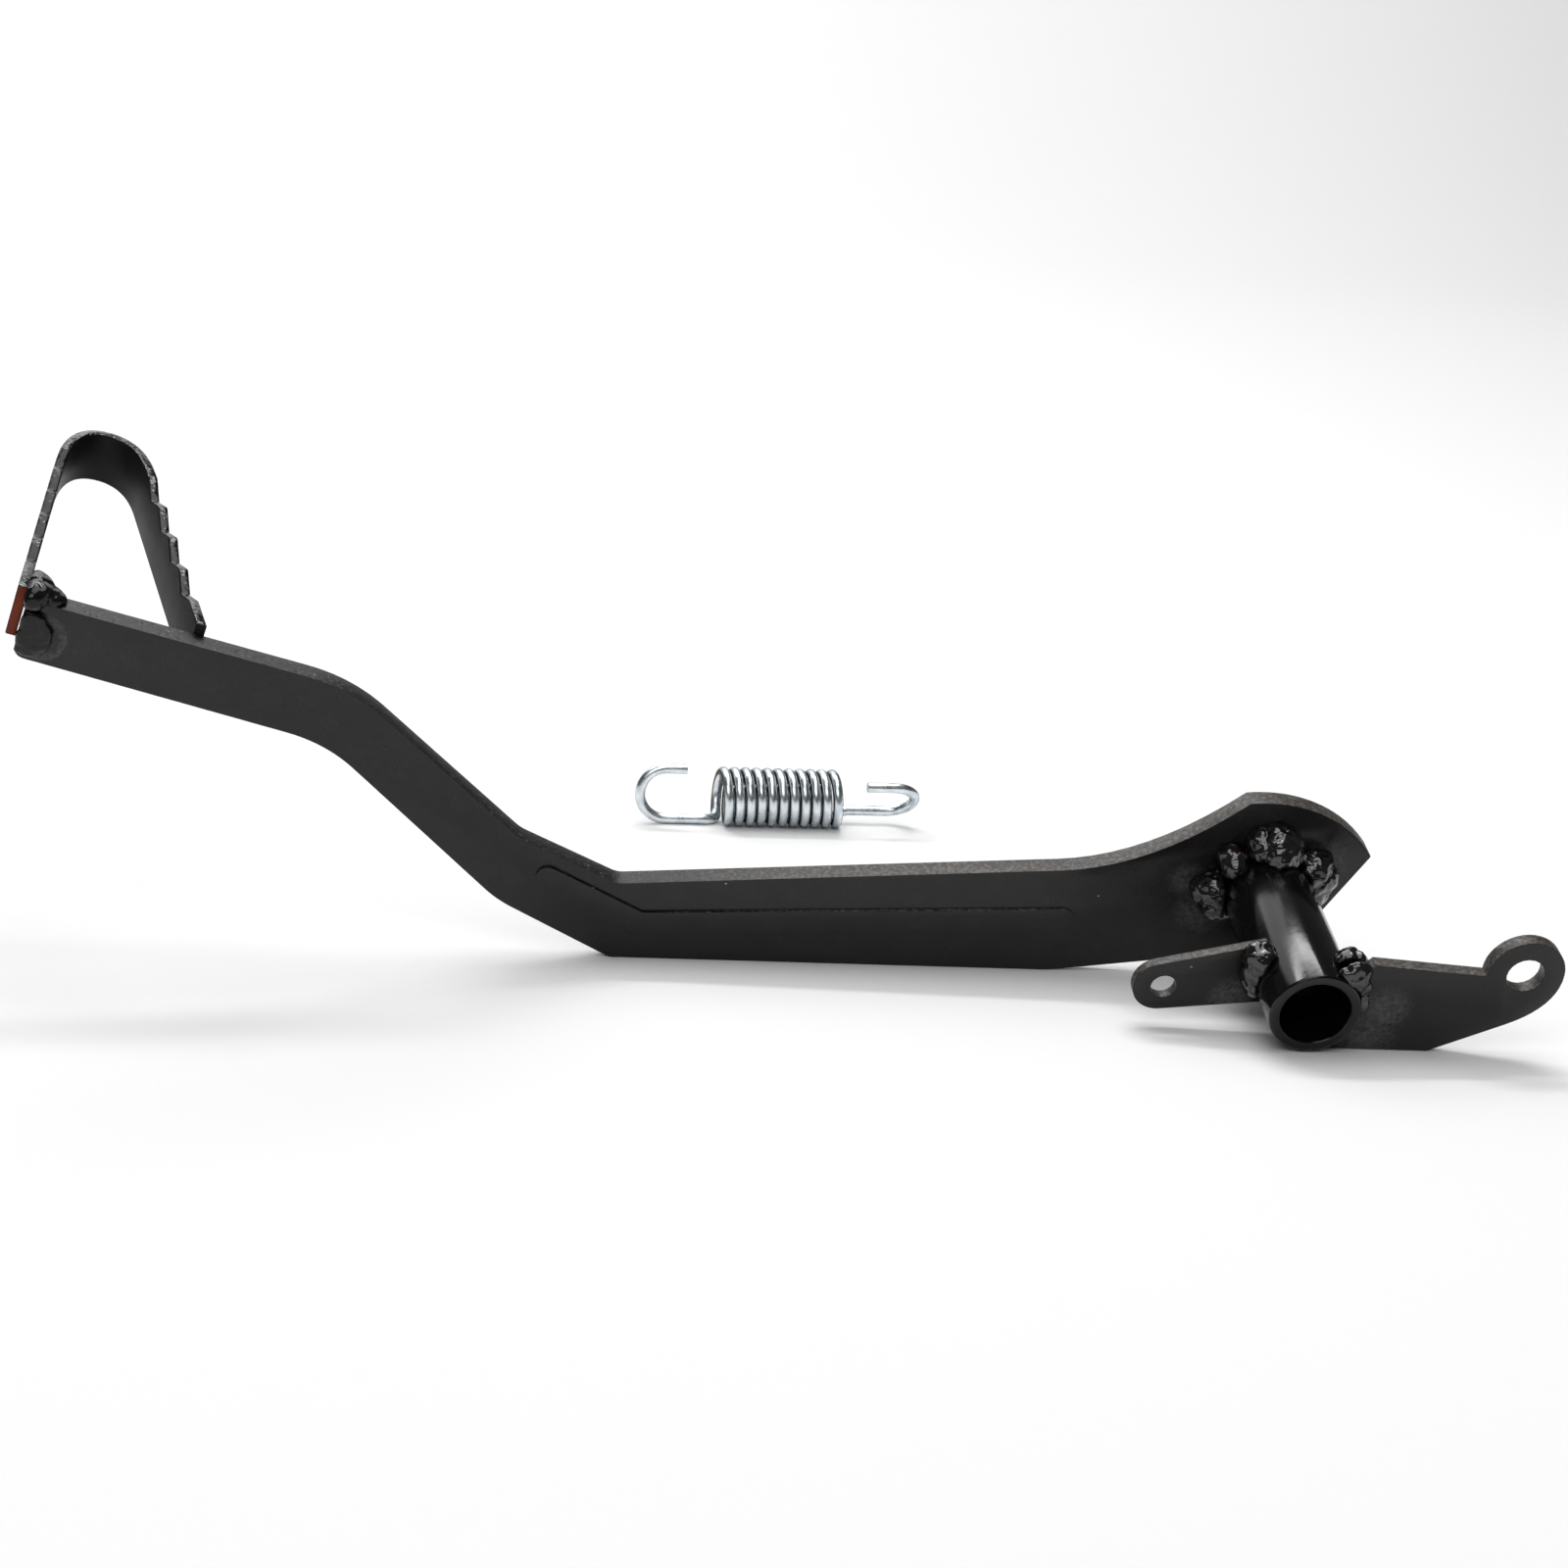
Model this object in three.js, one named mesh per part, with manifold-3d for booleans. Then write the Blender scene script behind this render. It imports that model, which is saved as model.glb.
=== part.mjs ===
// Foot brake pedal of a small motorcycle, lying on a table with its loose return spring behind it.
// Millimetres, +Z up. The pedal is drawn in its pivot frame (origin on the pivot axis at the front
// face of the bar, X along the bar, Y into the bar's thickness, Z up in the plane of the bar) and is
// then stood on the three points that it rests on.
import * as THREE from "three";
import { mergeVertices } from "three/addons/utils/BufferGeometryUtils.js";
import Module from "manifold-3d";

const wasm = await Module();
wasm.setup();

// ---- driving dimensions --------------------------------------------------------------------------

const GAP = 0.3; // left between pieces that touch

// pivot tube
const tubeOuterRadius = 10.65;
const tubeBoreRadius = 8.1;
const tubeReach = 52; // from the bar's front face to the tube's free end
const tubeChamfer = 0.4;

// lever bar: four straight runs from the pivot to the toe, each with its length and its rise
const barThickness = 5;
const shankRun = { length: 106.6, rise: 0.5 };
const kneeRun = { length: 29, rise: 31.1 };
const legRun = { length: 56.6, rise: 47.9 };
const toeRun = { length: 71.5, rise: 18.4 };
const shankStart = { left: 50, down: 11 }; // where the shank leaves the head
const headAcross = { width: 29.6, lean: 0 }; // the bar's width there, and how far off upright it is
const kneeAcross = { width: 21.5, lean: 4.5 };
const legAcross = { width: 18.1, lean: 18 };
const ankleAcross = { width: 15.7, lean: 22.8 };
const toeWidth = 14.7;
const headPeak = { left: 6.2, up: 22.8 };
const headArcRadius = 34.6;
const headArcLeft = 3; // the head arc's centre is this far left of the pivot
const headCorner = { right: 25.8, up: 7.5 };
const headFoot = { right: 9.6, down: 19.6 };

// stiffening rib pressed into the shank
const ribWidth = 5.6;
const ribHeight = 0.9;
const ribTurn = 6.2; // its bend is this far to the right of the knee's
const ribEndFromPivot = 48;
const ribKneeLength = 25.5; // of its run up the knee

// tread strip: a toothed band bent to a loop
const stripThickness = 2.3;
const stripWidth = 12.6;
const stripBelowCentre = 2.5; // its lower edge, below the toe's centre line
const loopReach = 82.2; // from the bar's front face to the far side of the loop
const loopWidth = 19.1; // over both legs at the far side, were its corners sharp
const loopFlare = 15.9; // degrees between its two legs
const loopApex = 11; // from the straight leg's outer face to the middle of the round end
const straightLegBend = 20.8; // length of the round on each leg
const flaredLegBend = 13.8;
const toothDepth = 2.6;
const toothLand = 0.7; // flat on each tooth's tip
const innerTeeth = { count: 5, pitch: 11.4, first: 16.4 };
const outerTeeth = { count: 4, pitch: 13.4, first: 16.2 };

// spring tab, welded to the side of the tube
const tabThickness = 2.5;
const tabFront = 36; // its front face, in front of the bar's
const tabHole = { left: 31.3, down: 3.8, radius: 3.05 };
const tabEnd = { left: 32.1, radius: 6.4 };
const tabRootTop = { left: 8.4, up: 8 };
const tabRootBottom = { left: 5, down: 8.3 };

// brake rod arm, welded to the other side
const armThickness = 3.5;
const armFront = 49;
const eye = { right: 48.4, up: 8.1, radius: 9.2, hole: 4.4 };
const armTop = { right: 13, up: 11.4 };
const armHeel = { right: 29.2, down: 13.3 };
const armTaper = 23.4; // degrees, from the heel up to the eye
const armRootDown = 11.8;

// return spring
const wireDiameter = 2.9;
const springDiameter = 16.8;
const springTurns = 11;
const turnGap = 0.19; // between neighbouring turns of the slack coil
const hookRadius = 7.3;
const hookShank = 15.1;
const fixedHookTail = 5.7;
const movingHookTail = 7.7;
const hookLead = 5; // along the spring, from the coil's end to the straight shank
const leadAngle = 28; // degrees of the coil's turn that the lead takes
const movingHookTurn = 48; // degrees that the far hook is turned about the spring's axis
const springPlace = { left: 101.7, behind: 132.5, turn: 2.6 }; // on the table, from the pivot

// ---- helpers -------------------------------------------------------------------------------------

const rad = THREE.MathUtils.degToRad;

function solidOf(geometry) {
  const bare = geometry.clone();
  bare.deleteAttribute("normal");
  bare.deleteAttribute("uv");
  const merged = mergeVertices(bare, 1e-4);
  const vertProperties = merged.attributes.position.array;
  const triVerts = new Uint32Array(merged.index.array);
  return new wasm.Manifold(new wasm.Mesh({ numProp: 3, vertProperties, triVerts }));
}

function geometryOf(solid) {
  const mesh = solid.getMesh();
  const geometry = new THREE.BufferGeometry();
  geometry.setAttribute("position", new THREE.BufferAttribute(mesh.vertProperties, 3));
  geometry.setIndex(new THREE.BufferAttribute(mesh.triVerts, 1));
  geometry.computeVertexNormals();
  return geometry;
}

function cut(geometry, ...tools) {
  const start = solidOf(geometry);
  return geometryOf(tools.reduce((rest, tool) => rest.subtract(solidOf(tool)), start));
}

function join(...pieces) {
  return geometryOf(pieces.map(solidOf).reduce((sum, piece) => sum.add(piece)));
}

// A flat piece drawn in X and Z, with its front face at y = front.
function plate(shape, thickness, front, curveSegments = 10) {
  const geometry = new THREE.ExtrudeGeometry(shape, { depth: thickness, bevelEnabled: false, curveSegments });
  return geometry.rotateX(Math.PI / 2).translate(0, front + thickness, 0);
}

// A solid rod on the pivot axis.
function pivotRod(radius, from, to) {
  const length = to - from;
  return new THREE.CylinderGeometry(radius, radius, length, 48).translate(0, (from + to) / 2, 0);
}

function circle(x, y, radius) {
  return new THREE.Path().absarc(x, y, radius, 0, 2 * Math.PI, true);
}

function at(x, y) {
  return new THREE.Vector2(x, y);
}

// Carries an outline through a corner, rounded by radius, on its way to the next corner.
function turnAt(shape, corner, next, radius) {
  const back = shape.currentPoint.clone().sub(corner).normalize();
  const on = next.clone().sub(corner).normalize();
  const half = Math.acos(THREE.MathUtils.clamp(back.dot(on), -1, 1)) / 2;
  const setBack = radius / Math.tan(half);
  const start = corner.clone().addScaledVector(back, setBack);
  const end = corner.clone().addScaledVector(on, setBack);
  shape.lineTo(start.x, start.y);
  shape.quadraticCurveTo(corner.x, corner.y, end.x, end.y);
}

function finish(color, roughness, metalness) {
  return new THREE.MeshStandardMaterial({ color, roughness, metalness });
}

function blackPaint() {
  return finish("#2a2829", 0.3, 0);
}

function brightZinc() {
  return finish("#c9ced3", 0.28, 1);
}

function node(name, geometry, material) {
  const mesh = new THREE.Mesh(geometry, material);
  mesh.name = name;
  return mesh;
}

// ---- lever bar -----------------------------------------------------------------------------------

// Centre line of the bar: the knots between its runs, from the shank's start to the toe's end.
const runs = [shankRun, kneeRun, legRun, toeRun];
const knots = [at(-shankStart.left, -shankStart.down)];
for (const run of runs) {
  const last = knots[knots.length - 1];
  const left = run.length * Math.cos(rad(run.rise));
  const up = run.length * Math.sin(rad(run.rise));
  knots.push(at(last.x - left, last.y + up));
}
const toeAcross = { width: toeWidth, lean: toeRun.rise };
const across = [headAcross, kneeAcross, legAcross, ankleAcross, toeAcross];

// The bar's edge beside a knot: side is 1 above and -1 below.
function besideKnot(index, side) {
  const { width, lean } = across[index];
  const half = (side * width) / 2;
  return knots[index].clone().add(at(half * Math.sin(rad(lean)), half * Math.cos(rad(lean))));
}

const above = knots.map((_, index) => besideKnot(index, 1));
const below = knots.map((_, index) => besideKnot(index, -1));
const peak = at(-headPeak.left, headPeak.up);
const corner = at(headCorner.right, headCorner.up);
const foot = at(headFoot.right, -headFoot.down);

// Centre of the head's arc, which passes through its corner.
const headArc = at(-headArcLeft, 0);
headArc.y = corner.y - Math.sqrt(headArcRadius ** 2 - (corner.x - headArc.x) ** 2);
const arcFrom = Math.atan2(corner.y - headArc.y, corner.x - headArc.x);
const arcTo = Math.acos((peak.x - headArc.x) / headArcRadius);

function barOutline() {
  const shape = new THREE.Shape();
  shape.moveTo((below[0].x + foot.x) / 2, (below[0].y + foot.y) / 2);
  turnAt(shape, foot, corner, 4);
  turnAt(shape, corner, at(corner.x - 1, corner.y + 1.2), 0.8);
  shape.absarc(headArc.x, headArc.y, headArcRadius, arcFrom + 0.03, arcTo, false);
  shape.quadraticCurveTo(peak.x - 0.5 * (peak.x - above[0].x), above[0].y + 0.6, above[0].x, above[0].y);
  turnAt(shape, above[1], above[2], 6);
  turnAt(shape, above[2], above[3], 10);
  turnAt(shape, above[3], above[4], 40);
  turnAt(shape, above[4], below[4], 1);
  turnAt(shape, below[4], below[3], 3);
  turnAt(shape, below[3], below[2], 34);
  turnAt(shape, below[2], below[1], 30);
  turnAt(shape, below[1], below[0], 4);
  turnAt(shape, below[0], foot, 40);
  shape.closePath();
  return shape;
}

// The rib runs along the shank's middle and turns up the knee; its ends are round.
function ribOutline(grow) {
  const half = ribWidth / 2 + grow;
  const turn = at(knots[1].x + ribTurn, knots[1].y);
  const end = at(-ribEndFromPivot, turn.y);
  const rise = rad(kneeRun.rise);
  const top = turn.clone().add(at(-ribKneeLength * Math.cos(rise), ribKneeLength * Math.sin(rise)));
  const side = at(half * Math.sin(rise), half * Math.cos(rise));
  const mitre = half * Math.tan(rise / 2);
  const shape = new THREE.Shape();
  shape.moveTo(turn.x - mitre, turn.y - half);
  shape.lineTo(end.x, end.y - half);
  shape.absarc(end.x, end.y, half, -Math.PI / 2, Math.PI / 2, false);
  shape.lineTo(turn.x + mitre, turn.y + half);
  shape.lineTo(top.x + side.x, top.y + side.y);
  shape.absarc(top.x, top.y, half, Math.PI / 2 - rise, 1.5 * Math.PI - rise, false);
  shape.closePath();
  return shape;
}

function leverBar() {
  const bar = barOutline();
  bar.holes.push(circle(0, 0, tubeOuterRadius + GAP));
  const rib = plate(ribOutline(0), ribHeight + 1, -ribHeight, 6);
  const groove = plate(ribOutline(-0.8), ribHeight, barThickness - ribHeight + 0.2, 6);
  return cut(join(plate(bar, barThickness, 0), rib), groove);
}

// ---- pivot tube ----------------------------------------------------------------------------------

function pivotTube() {
  const near = -tubeReach;
  const profile = [
    at(tubeBoreRadius, near + tubeChamfer),
    at(tubeBoreRadius + tubeChamfer, near),
    at(tubeOuterRadius - tubeChamfer, near),
    at(tubeOuterRadius, near + tubeChamfer),
    at(tubeOuterRadius, barThickness),
    at(tubeBoreRadius, barThickness),
    at(tubeBoreRadius, near + tubeChamfer),
  ];
  return new THREE.LatheGeometry(profile, 48);
}

// The room that the tube takes, with the gap round it.
const tubeRoom = pivotRod(tubeOuterRadius + GAP, -tubeReach - 10, barThickness + 10);

// ---- spring tab ----------------------------------------------------------------------------------

// Angle at which a line from a point runs on as a tangent of a circle: side 1 has it on the left.
function tangentAngle(from, centre, radius, side) {
  const toCentre = centre.clone().sub(from);
  const away = Math.atan2(-toCentre.y, -toCentre.x);
  return away + side * Math.acos(radius / toCentre.length());
}

function springTab() {
  const centre = at(-tabEnd.left, -tabHole.down);
  const top = at(-tabRootTop.left, tabRootTop.up);
  const bottom = at(-tabRootBottom.left, -tabRootBottom.down);
  const shape = new THREE.Shape();
  shape.moveTo(bottom.x, bottom.y);
  shape.lineTo(0, 0);
  shape.lineTo(top.x, top.y);
  const start = tangentAngle(top, centre, tabEnd.radius, 1);
  const end = tangentAngle(bottom, centre, tabEnd.radius, -1);
  shape.absarc(centre.x, centre.y, tabEnd.radius, start, end, false);
  shape.closePath();
  shape.holes.push(circle(-tabHole.left, centre.y, tabHole.radius));
  return cut(plate(shape, tabThickness, -tabFront), tubeRoom);
}

// ---- brake rod arm -------------------------------------------------------------------------------

const heel = at(armHeel.right, -armHeel.down);

function rodArm() {
  const taper = rad(armTaper);
  const side = at(eye.right + eye.radius, eye.up);
  const rise = (side.x - heel.x) * Math.tan(taper);
  const taperEnd = heel.clone().lerp(at(side.x, heel.y + rise), 0.6);
  const shape = new THREE.Shape();
  shape.moveTo(4, 2);
  shape.lineTo(2, -armRootDown);
  shape.lineTo(heel.x, heel.y);
  shape.lineTo(taperEnd.x, taperEnd.y);
  shape.quadraticCurveTo(side.x, heel.y + rise, side.x, side.y);
  shape.absarc(eye.right, eye.up, eye.radius, 0, Math.PI, false);
  shape.lineTo(armTop.right, armTop.up);
  shape.closePath();
  shape.holes.push(circle(eye.right, eye.up, eye.hole));
  return cut(plate(shape, armThickness, -armFront), tubeRoom);
}

// ---- tread strip ---------------------------------------------------------------------------------

// Drawn in the toe frame: X along the toe with 0 at the bar's end, Y as in the pivot frame, Z across
// the toe with 0 on its centre line.
const flare = rad(loopFlare);
const loopLeft = -GAP - stripThickness;
const stripTop = stripWidth - stripBelowCentre;
const outerLegStart = barThickness + GAP;

// A point on the flared leg at a height y, inset from its outer face.
function onFlaredLeg(y, inset) {
  const x = loopLeft + loopWidth + (loopReach - y) * Math.tan(flare) - inset / Math.cos(flare);
  return at(x, y);
}

function loopOutline() {
  const apex = loopLeft + loopApex;
  const far = loopReach - stripThickness;
  const bendStart = loopReach - straightLegBend;
  const bendEnd = loopReach - flaredLegBend;
  const flareCorner = onFlaredLeg(loopReach, 0);
  const flareCornerInside = onFlaredLeg(far, stripThickness);
  const flareStart = onFlaredLeg(bendEnd, 0);
  const flareStartInside = onFlaredLeg(bendEnd - stripThickness * Math.sin(flare), stripThickness);
  const foot = onFlaredLeg(outerLegStart, 0);
  const footInside = onFlaredLeg(outerLegStart, stripThickness);
  const shape = new THREE.Shape();
  shape.moveTo(-GAP, 0);
  shape.lineTo(loopLeft, 0);
  shape.lineTo(loopLeft, bendStart);
  shape.quadraticCurveTo(loopLeft, loopReach, apex, loopReach);
  shape.quadraticCurveTo(flareCorner.x, flareCorner.y, flareStart.x, flareStart.y);
  shape.lineTo(foot.x, foot.y);
  shape.lineTo(footInside.x, footInside.y);
  shape.lineTo(flareStartInside.x, flareStartInside.y);
  shape.quadraticCurveTo(flareCornerInside.x, flareCornerInside.y, apex, far);
  shape.quadraticCurveTo(-GAP, far, -GAP, bendStart);
  shape.closePath();
  return shape;
}

// Notches between the teeth of one leg, which starts at a point of the plan and runs away from the bar.
function notches(start, angle, teeth) {
  const half = (teeth.pitch - toothLand) / 2;
  const mouth = half + 1; // the notch's slopes carried 1 mm past the strip's edge
  const shape = new THREE.Shape([
    at(-mouth, 1),
    at(-half, 0),
    at(0, -toothDepth),
    at(half, 0),
    at(mouth, 1),
  ]);
  return Array.from({ length: teeth.count }, (_, index) => {
    const along = teeth.first + index * teeth.pitch;
    const tool = plate(shape, 4 * stripThickness, -2 * stripThickness);
    tool.rotateZ(angle);
    return tool.translate(start.x + along * Math.cos(angle), start.y + along * Math.sin(angle), stripTop);
  });
}

function treadStrip() {
  const loop = new THREE.ExtrudeGeometry(loopOutline(), {
    depth: stripWidth,
    bevelEnabled: false,
    curveSegments: 12,
  });
  loop.translate(0, 0, -stripBelowCentre);
  const innerStart = at(loopLeft + stripThickness / 2, 0);
  const outerStart = onFlaredLeg(outerLegStart, stripThickness / 2);
  return cut(
    loop,
    ...notches(innerStart, Math.PI / 2, innerTeeth),
    ...notches(outerStart, Math.PI / 2 + flare, outerTeeth),
  );
}

// ---- welds ---------------------------------------------------------------------------------------

// One drop of weld metal: a squashed ball at a place, with its three half sizes.
function drop(x, y, z, halfX, halfY, halfZ) {
  return new THREE.IcosahedronGeometry(1, 2).scale(halfX, halfY, halfZ).translate(x, y, z);
}

// A drop on the seam round the tube: angle in degrees from +X towards +Z, y along the pivot axis.
function seamDrop(angle, y, out, along, round) {
  const geometry = drop(tubeOuterRadius + out * 0.12, 0, 0, out, along, round);
  return geometry.rotateY(-rad(angle)).translate(0, y, 0);
}

// Everything behind or in front of a face, with the gap before it.
const roomBehind = (y) => new THREE.BoxGeometry(100, 60, 100).translate(0, y - GAP + 30, 0);
const roomBefore = (y) => new THREE.BoxGeometry(100, 60, 100).translate(0, y + GAP - 30, 0);
const barRoom = roomBehind(0);

function seamWeld(room, ...drops) {
  return cut(join(...drops), tubeRoom, room);
}

function topWeld() {
  return seamWeld(
    barRoom,
    seamDrop(100, -1, 5, 6, 3.6),
    seamDrop(85, -1, 6, 9, 4.6),
    seamDrop(72, -1, 5.2, 7, 3.6),
  );
}

function upperLeftWeld() {
  return seamWeld(barRoom, seamDrop(138, -1, 4.2, 6, 3.2));
}

function leftWeld() {
  return seamWeld(barRoom, seamDrop(182, -1, 6.2, 6, 4.2), seamDrop(203, -1, 4.6, 5, 3.8));
}

function rightWeld() {
  return seamWeld(
    barRoom,
    seamDrop(27, -1, 6, 6, 3.8),
    seamDrop(10, -1, 6.4, 5, 4),
    seamDrop(-9, -1, 5, 4, 3.4),
  );
}

function tabWeld() {
  const y = -tabFront - 1;
  const drops = [seamDrop(152, y, 4.2, 5, 3.6), seamDrop(172, y, 2.6, 4, 3), seamDrop(190, y, 2.2, 3.4, 3)];
  return seamWeld(roomBehind(-tabFront), ...drops);
}

function armWeld() {
  const y = -armFront + 0.8;
  const drops = [seamDrop(46, y, 5.4, 3.6, 4), seamDrop(30, y, 3.6, 2.2, 4), seamDrop(10, y, 2.6, 1.8, 4)];
  return seamWeld(roomBehind(-armFront), ...drops);
}

function armRearWeld() {
  const y = -armFront + armThickness + 1;
  const drops = [seamDrop(40, y, 4.4, 5, 4), seamDrop(20, y, 3, 4, 4), seamDrop(0, y, 3, 4, 4)];
  return seamWeld(roomBefore(armThickness - armFront), ...drops);
}

// The toe's welds are drawn in the toe frame.
const stripRoom = new THREE.BoxGeometry(20, 120, 60).translate(-10, 50, 0);
const toeHalf = toeWidth / 2;
const toeRoom = new THREE.BoxGeometry(80, barThickness + 2 * GAP, toeWidth + 2 * GAP)
  .translate(40, barThickness / 2, 0);

function gussetWeld() {
  const body = join(
    drop(0.6, 3.4, toeHalf + 0.6, 4.4, 6.4, 3),
    drop(4, 3, toeHalf + 0.2, 4.4, 3, 1.6),
    drop(0.6, 1.2, toeHalf, 3, 3.4, 1.6),
  );
  return cut(body, stripRoom, toeRoom);
}

function faceWeld() {
  return cut(join(drop(2.4, 0, -1, 5.4, 1.4, 5.6), drop(1.8, 0, 2.8, 3.8, 1.6, 2.6)), stripRoom, toeRoom);
}

function farLegWeld() {
  const inside = onFlaredLeg(outerLegStart, stripThickness);
  const leg = new THREE.ExtrudeGeometry(loopOutline(), { depth: 40, bevelEnabled: false, curveSegments: 12 });
  const grown = leg.clone().translate(0, 0, -20);
  const body = join(
    drop(inside.x - 0.6, outerLegStart + 0.4, 1, 2.6, 2.8, 2.4),
    drop(inside.x - 0.6, outerLegStart + 0.4, 4, 2.4, 2.6, 2.4),
  );
  return cut(body, grown, grown.clone().translate(-GAP, 0, 0), grown.clone().translate(0, -GAP, 0), toeRoom);
}

// ---- return spring -------------------------------------------------------------------------------

// Drawn along +X with its coil's middle at the origin; the coil starts and ends near its lowest point.
const coilRadius = (springDiameter - wireDiameter) / 2;
const coilTurn = 2 * Math.PI * springTurns + rad(movingHookTurn);
const coilPitch = wireDiameter + turnGap;
const coilLength = (coilTurn / (2 * Math.PI)) * coilPitch;
const coilEnd = rad(leadAngle); // left off each end of the coil, where the hook's wire takes over

class CoilLine extends THREE.Curve {
  getPoint(t) {
    const turn = THREE.MathUtils.lerp(coilEnd, coilTurn - coilEnd, t);
    const x = coilLength * (t - 0.5);
    return new THREE.Vector3(x, coilRadius * Math.sin(turn), -coilRadius * Math.cos(turn));
  }
}

// A hook's wire, with the coil's end at x = 0: it leaves the coil, straightens into a shank along +X,
// turns round the hook and comes back as a tail.
class HookLine extends THREE.Curve {
  constructor(tail) {
    super();
    const low = -coilRadius;
    const start = new THREE.Vector3(0, -coilRadius * Math.sin(coilEnd), low * Math.cos(coilEnd));
    const heading = new THREE.Vector3(0.1, Math.cos(coilEnd), -Math.sin(coilEnd));
    const shankStart = new THREE.Vector3(hookLead, 0, low);
    const leadIn = start.clone().addScaledVector(heading, hookLead / 2);
    const leadOut = shankStart.clone().setX(hookLead / 2);
    const lead = new THREE.CubicBezierCurve3(start, leadIn, leadOut, shankStart);
    this.parts = [
      [lead.getLength(), (s, part) => lead.getPointAt(Math.min(s / part, 1))],
      [hookShank - hookLead, (s) => new THREE.Vector3(hookLead + s, 0, low)],
      [Math.PI * hookRadius, (s) => this.roundHook(s / hookRadius)],
      [tail, (s) => new THREE.Vector3(hookShank - s, 0, 2 * hookRadius + low)],
    ];
    this.total = this.parts.reduce((sum, [length]) => sum + length, 0);
  }

  roundHook(angle) {
    const up = hookRadius * (1 - Math.cos(angle));
    return new THREE.Vector3(hookShank + hookRadius * Math.sin(angle), 0, up - coilRadius);
  }

  getPoint(t) {
    let s = THREE.MathUtils.lerp(GAP, this.total, t);
    let index = 0;
    while (index < this.parts.length - 1 && s > this.parts[index][0]) {
      s -= this.parts[index][0];
      index += 1;
    }
    const [length, place] = this.parts[index];
    return place(s, length);
  }
}

function wireAlong(path, steps, sides) {
  const ring = Array.from({ length: sides }, (_, index) => {
    const angle = (2 * Math.PI * index) / sides;
    return at((wireDiameter / 2) * Math.cos(angle), (wireDiameter / 2) * Math.sin(angle));
  });
  return new THREE.ExtrudeGeometry(new THREE.Shape(ring), { steps, extrudePath: path, bevelEnabled: false });
}

function returnSpring() {
  const spring = new THREE.Group();
  const coil = node("spring_coil", wireAlong(new CoilLine(), 18 * springTurns, 8), brightZinc());
  const fixedShape = wireAlong(new HookLine(fixedHookTail), 44, 10);
  const movingShape = wireAlong(new HookLine(movingHookTail), 44, 10);
  const fixedHook = node("spring_fixed_hook", fixedShape, brightZinc());
  const movingHook = node("spring_moving_hook", movingShape, brightZinc());
  fixedHook.rotation.z = Math.PI;
  fixedHook.position.x = -coilLength / 2;
  movingHook.position.x = coilLength / 2;
  movingHook.rotation.x = rad(movingHookTurn);
  spring.add(coil, fixedHook, movingHook);
  return spring;
}

// ---- assembly ------------------------------------------------------------------------------------

function pedal() {
  const group = new THREE.Group();
  group.add(
    node("lever_bar", leverBar(), blackPaint()),
    node("pivot_tube", pivotTube(), blackPaint()),
    node("spring_tab", springTab(), blackPaint()),
    node("rod_arm", rodArm(), blackPaint()),
    node("tube_weld_top", topWeld(), blackPaint()),
    node("tube_weld_upper_left", upperLeftWeld(), blackPaint()),
    node("tube_weld_left", leftWeld(), blackPaint()),
    node("tube_weld_right", rightWeld(), blackPaint()),
    node("tab_weld", tabWeld(), blackPaint()),
    node("arm_weld", armWeld(), blackPaint()),
    node("arm_weld_rear", armRearWeld(), blackPaint()),
  );
  const toe = new THREE.Group();
  const toeEnd = knots[knots.length - 1];
  toe.position.set(toeEnd.x, 0, toeEnd.y);
  toe.rotation.y = rad(toeRun.rise);
  toe.add(
    node("tread_strip", treadStrip(), blackPaint()),
    node("tread_weld_gusset", gussetWeld(), blackPaint()),
    node("tread_weld_face", faceWeld(), blackPaint()),
    node("tread_weld_far_leg", farLegWeld(), blackPaint()),
  );
  group.add(toe);
  return group;
}

// The table touches the shank's lower front edge along its length, and the rod arm's heel.
function standOnTable(group) {
  const edgeLeft = new THREE.Vector3(below[1].x, 0, below[1].y);
  const edgeRight = new THREE.Vector3(below[0].x, 0, below[0].y);
  const heelPoint = new THREE.Vector3(heel.x, -armFront, heel.y);
  const along = edgeRight.clone().sub(edgeLeft).normalize();
  const up = along.clone().cross(heelPoint.clone().sub(edgeLeft)).normalize();
  if (up.z < 0) up.negate();
  const behind = up.clone().cross(along);
  group.applyMatrix4(new THREE.Matrix4().makeBasis(along, behind, up).transpose());
  return -edgeLeft.dot(up);
}

const part = new THREE.Group();
const standing = pedal();
const pivotHeight = standOnTable(standing);
standing.position.z = pivotHeight;
const spring = returnSpring();
spring.rotation.z = rad(springPlace.turn);
spring.position.set(-springPlace.left, springPlace.behind, springDiameter / 2);
part.add(standing, spring);

// Origin: on the table, at the middle of the whole footprint.
part.updateMatrixWorld(true);
const box = new THREE.Box3().setFromObject(part, true);
const middle = box.getCenter(new THREE.Vector3());
part.position.set(-middle.x, -middle.y, -box.min.z);

export default part;
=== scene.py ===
"""Looks for a motorcycle foot brake pedal lying on a table, with its return spring behind it.

Metres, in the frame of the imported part. A number times mm is a length in millimetres.
"""

import math

import bmesh
import bpy
from mathutils import Matrix, Vector, noise


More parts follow.
